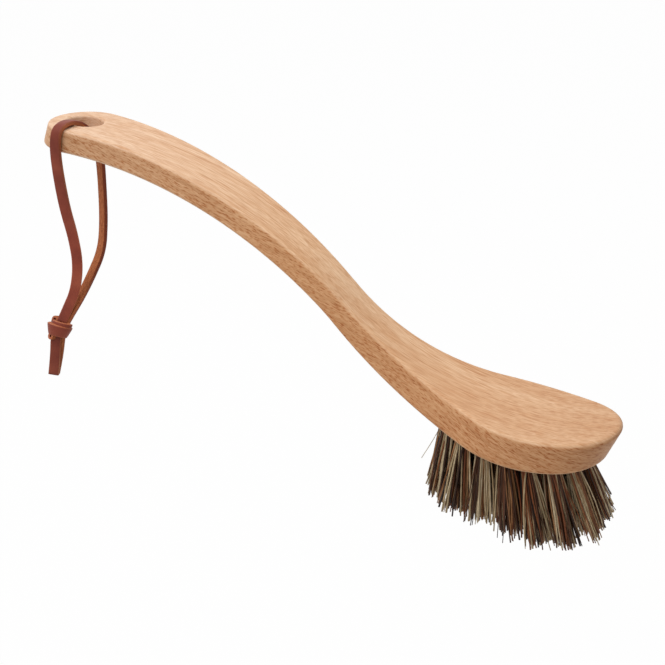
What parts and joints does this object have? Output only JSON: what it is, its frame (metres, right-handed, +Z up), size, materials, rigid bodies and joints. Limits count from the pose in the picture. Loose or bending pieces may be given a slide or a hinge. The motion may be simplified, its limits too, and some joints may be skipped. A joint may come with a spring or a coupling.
{
  "type": "dish brush",
  "caption": "Hand brush for washing up: S-curved beech handle and oval head, fanned plant-fibre tufts set in drilled holes, and a knotted leather hanging lace through the handle's end.",
  "frame": {"origin": "middle of the trimmed bristle face, where the middle tuft's axis meets it", "axes": "+X along the brush towards the front of its head, the handle rising towards -X; +Z up, away from the bristle face; the lace hangs on the -Y side"},
  "size_m": [0.239, 0.0554, 0.1267],
  "materials": {
    "beech": "oiled, fine sanded",
    "plant_fibre": "mixed dark and pale bristle",
    "staple_wire": "drawn wire",
    "leather_lace": "satin grain, cut edges"
  },
  "bodies": {
    "brush": {"beech_body": "beech", "anchor_staples": "staple_wire", "inner_tuft_01": "plant_fibre", "inner_tuft_02": "plant_fibre", "inner_tuft_03": "plant_fibre", "inner_tuft_04": "plant_fibre", "inner_tuft_05": "plant_fibre", "inner_tuft_06": "plant_fibre", "inner_tuft_07": "plant_fibre", "inner_tuft_08": "plant_fibre", "inner_tuft_09": "plant_fibre", "inner_tuft_10": "plant_fibre", "middle_tuft_01": "plant_fibre", "middle_tuft_02": "plant_fibre", "middle_tuft_03": "plant_fibre", "outer_tuft_01": "plant_fibre", "outer_tuft_02": "plant_fibre", "outer_tuft_03": "plant_fibre", "outer_tuft_04": "plant_fibre", "outer_tuft_05": "plant_fibre", "outer_tuft_06": "plant_fibre", "outer_tuft_07": "plant_fibre", "outer_tuft_08": "plant_fibre", "outer_tuft_09": "plant_fibre", "outer_tuft_10": "plant_fibre", "outer_tuft_11": "plant_fibre", "outer_tuft_12": "plant_fibre", "outer_tuft_13": "plant_fibre", "outer_tuft_14": "plant_fibre", "outer_tuft_15": "plant_fibre", "outer_tuft_16": "plant_fibre", "lace_bight": "leather_lace"},
    "lace_loop": {"lace_front_strand": "leather_lace", "lace_back_strand": "leather_lace", "lace_knot": "leather_lace", "lace_front_tail": "leather_lace", "lace_back_tail": "leather_lace"}
  },
  "joints": [
    {"name": "loop_swing", "type": "hinge", "parent": "brush", "child": "lace_loop", "pos_m": [-0.18603, 0, 0.11214], "axis": [-0.1392, -0.9903, 0], "range_deg": [-60, 60]}
  ]
}
